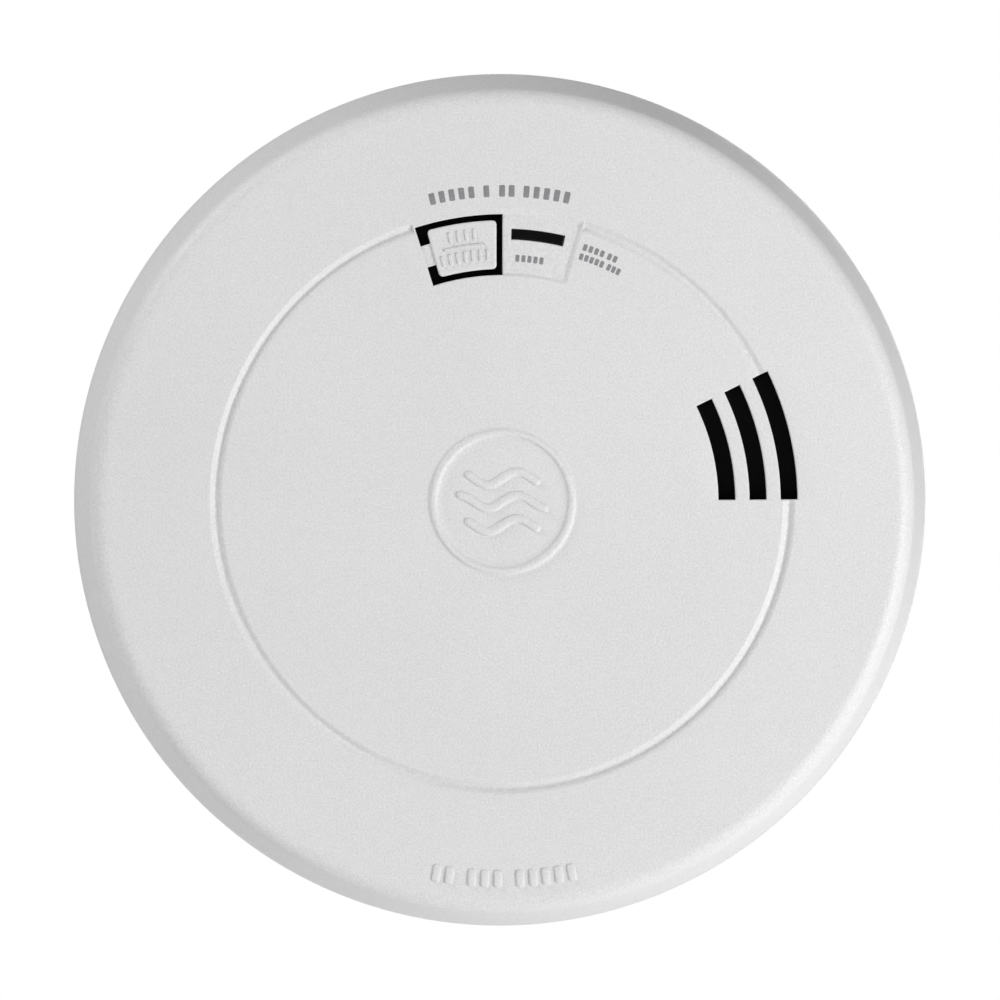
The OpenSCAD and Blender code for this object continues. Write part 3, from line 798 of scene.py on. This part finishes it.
def buildPad():
    body = arcBlock(pad["inner"], pad["outer"], lambda r: pad["hingeBearing"], padRight, pad["face"],
                    pad["base"], pad["edgeRound"], corner=pad["corner"])
    line = arcBlock(pad["lineInner"], pad["lineOuter"], lambda r: pad["middle"] - pad["lineHalf"],
                    lambda r: pad["middle"] + pad["lineHalf"], pad["face"] + pad["ribHeight"],
                    pad["face"] - pad["sunk"], pad["lineEdge"], 12, 2)
    meshes = [meshOf("padBody", [body, buildPost()]), meshOf("padLine", [line])]
    rib = stamp("gripRib", pad["ribWidth"], pad["ribLength"], pad["ribHeight"] + pad["sunk"],
                pad["ribWidth"] / 2 - 0.01, pad["ribEdge"])
    for radius, count in pad["rows"]:
        first = pad["middle"] - pad["ribStep"] * (count - 1) / 2
        meshes.append(grow("ribs", rib, arcRow, Count=count, Radius=radius * mm, First=first,
                           Step=pad["ribStep"], Out=(pad["face"] - pad["sunk"]) * mm))
    mesh = mergeMeshes("testPad", meshes)
    addPiece("testPad", mesh, white, "button", ["test_button"])
    print("test button:", len(mesh.polygons), "faces")


arcRow = arcRowTree(white)
buildPad()

strip = {"inner": 42.2, "outer": 46.0, "first": -18.0, "last": -15.3, "edge": 0.12}


def buildStrip():
    # the thin bending strip that holds the button, let a little way into the cover and the pad
    front = frontOf("button_hinge")
    back = backOf("button_hinge")
    block = arcBlock(strip["inner"], strip["outer"], lambda r: strip["first"], lambda r: strip["last"],
                     front, back, strip["edge"], 14, 6)
    mesh = meshOf("hingeStrip", [block])
    piece = addPiece("hingeStrip", mesh, white, None, ["button_hinge"])
    middle = (strip["inner"] + strip["outer"]) / 2
    depth = (front + back) / 2
    place(middle, cover["button"][2], depth)
    place(middle, pad["hingeBearing"], depth)
    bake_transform(piece)


buildStrip()
print("hinge strip ready")

window = {
    "inner": 45.1, "outer": 46.8, "first": 1.95, "last": 13.2, "edge": 0.16, "sunk": 0.05,
    # the lens's flange behind the cover
    "flange": 0.6, "flangeTurn": 0.8, "flangeGap": 0.02, "flangeEdge": 0.1,
}


def buildWindow():
    w = window
    lens = arcBlock(w["inner"], w["outer"], lambda r: w["first"], lambda r: w["last"],
                    frontOf("indicator_lens"), cover["inside"] - w["sunk"], w["edge"], 24, 4)
    flange = arcBlock(w["inner"] - w["flange"], w["outer"] + w["flange"],
                      lambda r: w["first"] - w["flangeTurn"], lambda r: w["last"] + w["flangeTurn"],
                      cover["inside"] - w["flangeGap"], backOf("indicator_lens"), w["flangeEdge"], 12, 4)
    mesh = meshOf("windowLens", [lens, flange])
    addPiece("windowLens", mesh, finishes["smoked_lens"], "alarm", ["indicator_lens"])


buildWindow()
print("power window ready")

# three low waves inside the moulded ring
emblem = {
    # each wave's height above the centre and its reach to either side
    "waves": [(4.0, 6.5), (0.0, 8.0), (-4.0, 6.5)],
    "half": 0.8, "swing": 1.1, "turn": 36.0, "height": 0.45, "edge": 0.4, "endStart": -0.1, "tip": 0.02,
    "sunk": 0.1, "steps": 60,
    # a wave's cross-section, as shares of its half width and of its height
    "section": [(-1, 0), (-0.7, 0.75), (-0.45, 1), (0.45, 1), (0.7, 0.75), (1, 0)],
}


def buildWave(up, reach):
    rings = []
    for x in between(-reach, reach, emblem["steps"]):
        angle = math.radians(emblem["turn"] * x)
        slope = emblem["swing"] * math.cos(angle) * math.radians(emblem["turn"])
        length = math.hypot(1, slope)
        end = reach - abs(x)
        half = emblem["half"] * math.sqrt(max(emblem["tip"], 1 - max(0, 1 - end / emblem["half"]) ** 2))
        rise = emblem["height"] * soft(end, emblem["endStart"], emblem["edge"])
        section = [(side, rise * share) for side, share in emblem["section"]]
        ring = []
        for side, z in [(-1, -emblem["sunk"])] + section + [(1, -emblem["sunk"])]:
            offset = side * half
            ring.append(((x - offset * slope / length) * mm, -(cover["face"] + z) * mm,
                         (up + emblem["swing"] * math.sin(angle) + offset / length) * mm))
        rings.append(ring)
    return lidded(rings)


addPiece("emblemWaves", meshOf("emblemWaves", [buildWave(*wave) for wave in emblem["waves"]]), white, "alarm",
         smooth=50)
print("emblem ready")

# blank printed marks on the face
marks = {
    "ink": 0.025, "sunk": 0.02, "corner": 0.2, "edge": 0.01,
    # radius, tile height, tile width, how far the face is sunk there, groups of (first bearing, count, step)
    "rows": [
        (53.35, 2.0, 1.0, 0, [(-13.1, 5, 1.83), (-3.0, 1, 1.0), (-0.1, 2, 1.75), (4.4, 5, 1.88)]),
        (41.85, 1.2, 0.68, cover["panelDepth"], [(3.5, 5, 1.42)]),
        (45.85, 1.15, 0.7, 0, [(18.0, 4, 1.3), (23.6, 2, 1.3)]),
        (44.15, 1.15, 0.66, 0, [(17.8, 5, 1.22), (24.4, 3, 1.15)]),
    ],
}


def buildMarks():
    tree = arcRowTree(greyInk)
    meshes = []
    for radius, height, width, sunk, groups in marks["rows"]:
        tile = stamp("markTile", width, height, marks["ink"] + marks["sunk"], marks["corner"], marks["edge"])
        out = (cover["face"] - sunk - marks["sunk"]) * mm
        for first, count, step in groups:
            meshes.append(grow("marks", tile, tree, Count=count, Radius=radius * mm, First=first, Step=step,
                               Out=out))
    addPiece("faceMarks", mergeMeshes("faceMarks", meshes), greyInk, "alarm")


buildMarks()
print("face marks ready")

# raised blank tiles below the centre, in groups of (first bearing, count)
tiles = {"radius": 64.8, "width": 1.4, "height": 3.0, "rise": 0.36, "corner": 0.45, "edge": 0.22, "sunk": 0.1,
         "step": 1.98, "groups": [(169.4, 5), (180.7, 3), (188.1, 2)]}


def buildTiles():
    tile = stamp("raisedTile", tiles["width"], tiles["height"], tiles["rise"] + tiles["sunk"],
                 tiles["corner"], tiles["edge"])
    rows = [grow("tiles", tile, arcRow, Count=count, Radius=tiles["radius"] * mm, First=first,
                 Step=tiles["step"], Out=(cover["face"] - tiles["sunk"]) * mm)
            for first, count in tiles["groups"]]
    addPiece("coverTiles", mergeMeshes("coverTiles", rows), white, "alarm", smooth=45)


buildTiles()
print("cover tiles ready")

# insect mesh behind the side vents
inlet = {"pitch": 1.0, "wire": 0.13, "rings": 6, "clear": 0.35, "inset": 0.15, "ringInset": 1.4,
         "corner": 0.6, "edge": 0.02, "segments": 200, "sides": 5}


def buildInlet():
    back = backOf("inlet_screen")
    tall = frontOf("inlet_screen") - back
    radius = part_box("inlet_screen")[1][0] / mm - inlet["inset"]
    count = int(2 * math.pi * radius / inlet["pitch"])
    wire = inlet["wire"]
    upright = stamp("uprightWire", wire * 2, wire * 2, tall, wire * inlet["corner"], inlet["edge"])
    screen = finishes["screen_steel"]
    wires = grow("uprights", upright, arcRowTree(screen), Count=count, Radius=radius * mm, First=0.0,
                 Step=360.0 / count, Out=back * mm)
    gap = (tall - 2 * inlet["clear"]) / (inlet["rings"] - 1)
    rings = grow("rings", upright, ringStackTree(screen), Count=inlet["rings"],
                 Radius=(radius - wire * inlet["ringInset"]) * mm, Low=(back + inlet["clear"]) * mm,
                 Gap=gap * mm, Wire=wire * mm, Segments=inlet["segments"], Sides=inlet["sides"])
    addPiece("inletMesh", mergeMeshes("inletMesh", [wires, rings]), screen, "alarm",
             ["inlet_screen"], smooth=50)


buildInlet()
print("inlet mesh ready")

# blank label rows on the back
label = {"rows": 5, "words": 6, "tileWidth": 4.4, "tileHeight": 0.9, "margin": 2.2, "top": 13.2, "pitch": 5.0,
         "gap": 2.9, "ink": 0.02, "corner": 0.3, "edge": 0.01, "shortest": 0.35, "longest": 0.92, "seed": 7}


def buildLabelRows():
    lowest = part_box("rating_label")[0]
    tile = stamp("labelTile", label["tileWidth"], label["tileHeight"], label["ink"] * 2, label["corner"],
                 label["edge"])
    left = lowest[0] / mm + label["margin"] + label["tileWidth"] / 2
    tree = wordRowsTree(labelInk, label["shortest"], label["longest"])
    rows = grow("labelRows", tile, tree, Rows=label["rows"], Words=label["words"], Left=left * mm,
                Top=label["top"] * mm, Pitch=label["pitch"] * mm, Gap=label["gap"] * mm,
                Out=(backOf("rating_label") - label["ink"]) * mm, Seed=label["seed"])
    addPiece("labelRows", rows, labelInk, "alarm")


buildLabelRows()
print("label rows ready")

# moulded parts whose corners are rounded a little: bevel width in mm, body and material slot
softened = {
    "mounting_bracket": (0.28, "bracket", "bracket_plastic"),
    "locking_pins": (0.16, "bracket", "bracket_plastic"),
    "rear_housing": (0.28, "alarm", "white_plastic"),
    "vent_ring": (0.14, "alarm", "white_plastic"),
    "power_switch_knob": (0.16, "power_slide", "orange_plastic"),
}
softening = {"weld": 0.001, "flatAngle": 0.6, "cornerAngle": 40, "segments": 2, "smooth": 32}


def softCopy(node, width, body, slot):
    # a copy of a part with its triangles merged into whole faces and its corners rounded
    source = frame["nodes"][node].data
    s = softening
    work = bmesh.new()
    verts = [work.verts.new(v.co) for v in source.vertices]
    for face in source.polygons:
        work.faces.new([verts[k] for k in face.vertices])
    bmesh.ops.remove_doubles(work, verts=work.verts, dist=s["weld"] * mm)
    bmesh.ops.dissolve_degenerate(work, dist=s["weld"] * mm, edges=work.edges)
    bmesh.ops.dissolve_limit(work, angle_limit=math.radians(s["flatAngle"]), verts=work.verts,
                             edges=work.edges)
    corners = [e for e in work.edges
               if len(e.link_faces) == 2 and e.calc_face_angle() > math.radians(s["cornerAngle"])]
    bmesh.ops.bevel(work, geom=corners, offset=width * mm, segments=s["segments"], profile=0.5,
                    affect="EDGES", clamp_overlap=True, offset_type="OFFSET")
    bmesh.ops.triangulate(work, faces=[f for f in work.faces if len(f.verts) > 4])
    mesh = bpy.data.meshes.new(node + "Soft")
    work.to_mesh(mesh)
    work.free()
    addPiece(node + "Soft", mesh, finishes[slot], body, [node], smooth=s["smooth"])
    print("softened", node, len(mesh.polygons), "faces")


for node, values in softened.items():
    softCopy(node, *values)

studio = {
    "floorDrop": 1.5, "floorRadius": 7.0, "floorSides": 96, "floorGlow": (0.42, 0.95),
    "floorColour": (0.55, 0.55, 0.55), "floorRough": 0.75, "fibreScale": 40.0, "fibreRough": 0.1,
    "ambient": 0.25, "backdrop": 1.0,
    # each lamp's size, power, direction from the alarm and distance
    "lamps": {
        "keyLight": (0.5, 6.8, (0.73, -0.66, -0.2), 1.0),
        "fillLight": (0.5, 5.3, (-0.66, -0.26, 0.7), 1.0),
        "backLight": (0.9, 14.0, (0.1, 1.0, 0.05), 2.5),
    },
    "viewWidth": 0.1724, "distance": 3.0, "bearing": -2.0, "rise": 1.3, "aim": (0.0, -0.023, 0.0),
    "sensor": 36.0, "clipEnd": 50.0,
}


def addLight(name, size, power, direction, distance):
    # a soft square lamp that faces the alarm's middle from the given direction
    light = bpy.data.lights.new(name, "AREA")
    light.shape = "SQUARE"
    light.size = size
    light.energy = power
    piece = bpy.data.objects.new(name, light)
    bpy.context.scene.collection.objects.link(piece)
    towards = Vector(direction).normalized()
    piece.location = towards * distance
    piece.rotation_euler = towards.to_track_quat("Z", "Y").to_euler()
    piece.visible_camera = False


def glowingFloor():
    # a pale paper-like floor that glows with painted light, brighter outwards, so that its edge melts into
    # the white behind it
    def build(t, place):
        away = t.add("ShaderNodeVectorMath", {"operation": "LENGTH"}, out=1, i0=place) / studio["floorRadius"]
        fibre = noise(t, place, studio["fibreScale"], 3.0)
        middle, rim = studio["floorGlow"]
        return {
            # painted light: the floor's own glow, dim in the middle and bright at its edge
            "Emission Color": mixColour(t, away, (middle,) * 3, (rim,) * 3),
            "Roughness": fibre * studio["fibreRough"] + studio["floorRough"],
        }
    return makeMaterial("glowingFloor", studio["floorColour"], 0.8, build, Emission_Strength=1.0)


def addFloor():
    bpy.ops.mesh.primitive_circle_add(vertices=studio["floorSides"], radius=studio["floorRadius"],
                                      fill_type="NGON", location=(0, 0, -studio["floorDrop"]))
    floor = bpy.context.object
    floor.name = "studioFloor"
    floor.data.materials.append(glowingFloor())


def addWorld():
    # white behind everything, dimmer as ambient light
    world = bpy.data.worlds.new("studioWorld")
    bpy.context.scene.world = world
    world.use_nodes = True
    t = Tree(world.node_tree)
    for node in list(t.tree.nodes):
        t.tree.nodes.remove(node)
    seen = t.add("ShaderNodeLightPath")
    ambient = t.add("ShaderNodeBackground", Color=(1, 1, 1, 1), Strength=studio["ambient"])
    backdrop = t.add("ShaderNodeBackground", Color=(1, 1, 1, 1), Strength=studio["backdrop"])
    mixed = t.add("ShaderNodeMixShader", i0=seen, i1=ambient, i2=backdrop)
    output = t.tree.nodes.new("ShaderNodeOutputWorld")
    t.tree.links.new(mixed.out, output.inputs["Surface"])


def addCamera():
    # a long lens almost straight in front
    camera = bpy.data.cameras.new("studioCamera")
    camera.sensor_width = studio["sensor"]
    camera.lens = camera.sensor_width * studio["distance"] / studio["viewWidth"]
    camera.clip_end = studio["clipEnd"]
    piece = bpy.data.objects.new("studioCamera", camera)
    bpy.context.scene.collection.objects.link(piece)
    a = math.radians(studio["bearing"])
    e = math.radians(studio["rise"])
    back = Vector((math.sin(a) * math.cos(e), -math.cos(a) * math.cos(e), math.sin(e)))
    piece.location = Vector(studio["aim"]) + back * studio["distance"]
    piece.rotation_euler = (-back).to_track_quat("-Z", "Y").to_euler()
    bpy.context.scene.camera = piece


addFloor()
for name, values in studio["lamps"].items():
    addLight(name, *values)
addWorld()
addCamera()
bpy.context.scene.view_settings.view_transform = "Standard"
print("studio ready")
